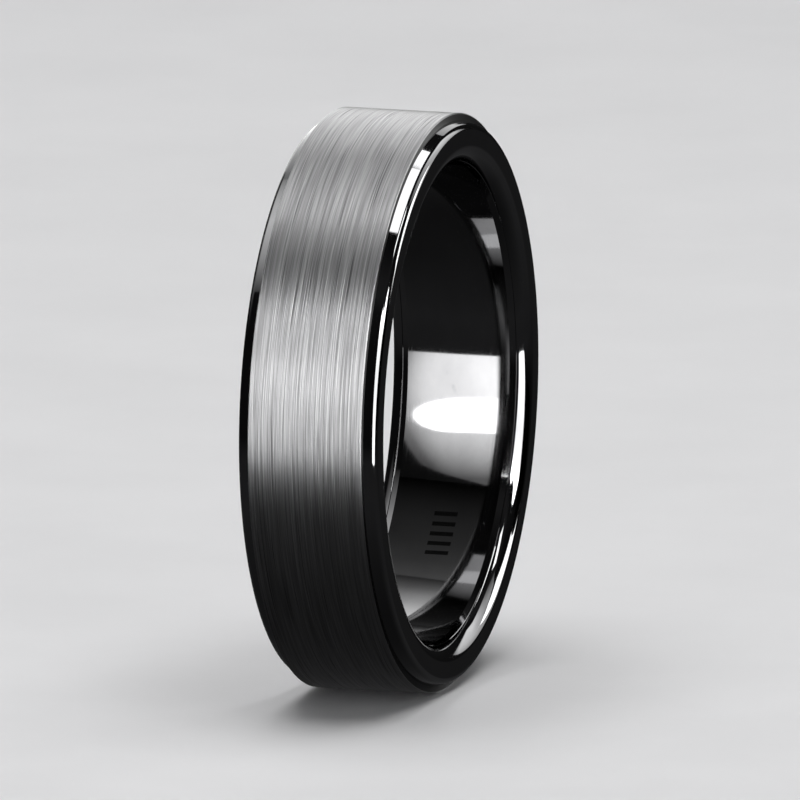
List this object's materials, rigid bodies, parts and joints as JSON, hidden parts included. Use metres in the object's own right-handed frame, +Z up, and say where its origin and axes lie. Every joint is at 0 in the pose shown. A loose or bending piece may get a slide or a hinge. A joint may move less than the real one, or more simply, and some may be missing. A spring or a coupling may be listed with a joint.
{
  "type": "wedding band",
  "caption": "Comfort-fit finger ring with a raised brushed centre band between polished dark stepped edges and a polished dark inside.",
  "frame": {"origin": "centre of the finger hole, halfway across the ring's width", "axes": "+X along the finger through the hole, +Z up with the ring standing upright on its brushed face, +Y completes the right-handed frame"},
  "size_m": [0.006, 0.024, 0.024],
  "materials": {
    "polished_black": "black-plated tungsten carbide, mirror polished",
    "brushed_grey": "bare grey tungsten carbide, brushed around the ring"
  },
  "bodies": {
    "root": {"inner_sleeve": "polished_black", "brushed_band": "brushed_grey", "left_edge_ring": "polished_black", "right_edge_ring": "polished_black"}
  },
  "joints": []
}
